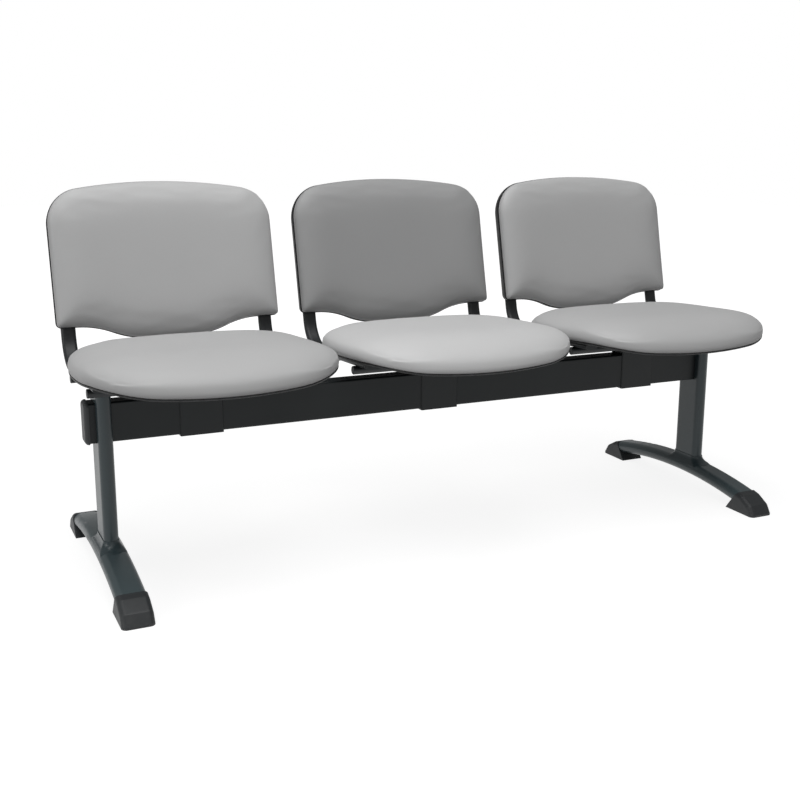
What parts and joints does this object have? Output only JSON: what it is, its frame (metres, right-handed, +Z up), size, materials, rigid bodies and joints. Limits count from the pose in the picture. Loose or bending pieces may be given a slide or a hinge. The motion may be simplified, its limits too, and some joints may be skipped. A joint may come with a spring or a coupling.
{
  "type": "beam seating",
  "caption": "Row of padded seats with separate curved padded backs, carried on one rectangular steel beam between two uprights with low arched feet.",
  "frame": {"origin": "on the floor, under the centre of the bench's bounding box: midway between the two legs and midway between the front and rear ends of the feet", "axes": "+X along the beam towards the right-hand leg as seen from the front, +Y from the front to the back of the bench (the sitter faces -Y), +Z up"},
  "size_m": [1.5596, 0.61, 0.7665],
  "materials": {
    "seat_cover": "smooth light grey imitation leather, satin",
    "back_cover": "smooth mid grey imitation leather, satin",
    "plywood": "raw plywood",
    "shell_plastic": "fine-grained black, matt",
    "cap_plastic": "moulded black, matt",
    "arm_paint": "black powder coat, satin",
    "strap_paint": "anthracite powder coat, satin",
    "frame_paint": "dark blue-green anthracite powder coat, semi-gloss",
    "zinc_steel": "bright zinc plated",
    "black_steel": "black oxide, satin"
  },
  "bodies": {
    "root": {"seat_cushion_1": "seat_cover", "seat_board_1": "plywood", "seat_shell_1": "shell_plastic", "back_cushion_1": "back_cover", "back_board_1": "plywood", "back_shell_1": "shell_plastic", "back_arm_left_1": "arm_paint", "back_arm_right_1": "arm_paint", "cross_tube_front_1": "arm_paint", "cross_tube_rear_1": "arm_paint", "tube_plugs_1": "cap_plastic", "carrier_plate_1": "arm_paint", "clamp_strap_1": "strap_paint", "seat_cushion_2": "seat_cover", "seat_board_2": "plywood", "seat_shell_2": "shell_plastic", "back_cushion_2": "back_cover", "back_board_2": "plywood", "back_shell_2": "shell_plastic", "back_arm_left_2": "arm_paint", "back_arm_right_2": "arm_paint", "cross_tube_front_2": "arm_paint", "cross_tube_rear_2": "arm_paint", "tube_plugs_2": "cap_plastic", "carrier_plate_2": "arm_paint", "clamp_strap_2": "strap_paint", "seat_cushion_3": "seat_cover", "seat_board_3": "plywood", "seat_shell_3": "shell_plastic", "back_cushion_3": "back_cover", "back_board_3": "plywood", "back_shell_3": "shell_plastic", "back_arm_left_3": "arm_paint", "back_arm_right_3": "arm_paint", "cross_tube_front_3": "arm_paint", "cross_tube_rear_3": "arm_paint", "tube_plugs_3": "cap_plastic", "carrier_plate_3": "arm_paint", "clamp_strap_3": "strap_paint", "seat_screws": "zinc_steel", "back_screws": "zinc_steel", "clamp_bolts": "black_steel", "clamp_nuts": "black_steel", "leg_screws": "zinc_steel", "saddle_blocks": "cap_plastic", "beam": "frame_paint", "upright_plugs": "cap_plastic", "beam_end_cap_left": "cap_plastic", "leg_upright_left": "frame_paint", "upright_collar_left": "frame_paint", "foot_arch_left": "frame_paint", "foot_cap_front_left": "cap_plastic", "foot_cap_rear_left": "cap_plastic", "beam_end_cap_right": "cap_plastic", "leg_upright_right": "frame_paint", "upright_collar_right": "frame_paint", "foot_arch_right": "frame_paint", "foot_cap_front_right": "cap_plastic", "foot_cap_rear_right": "cap_plastic"}
  },
  "joints": []
}
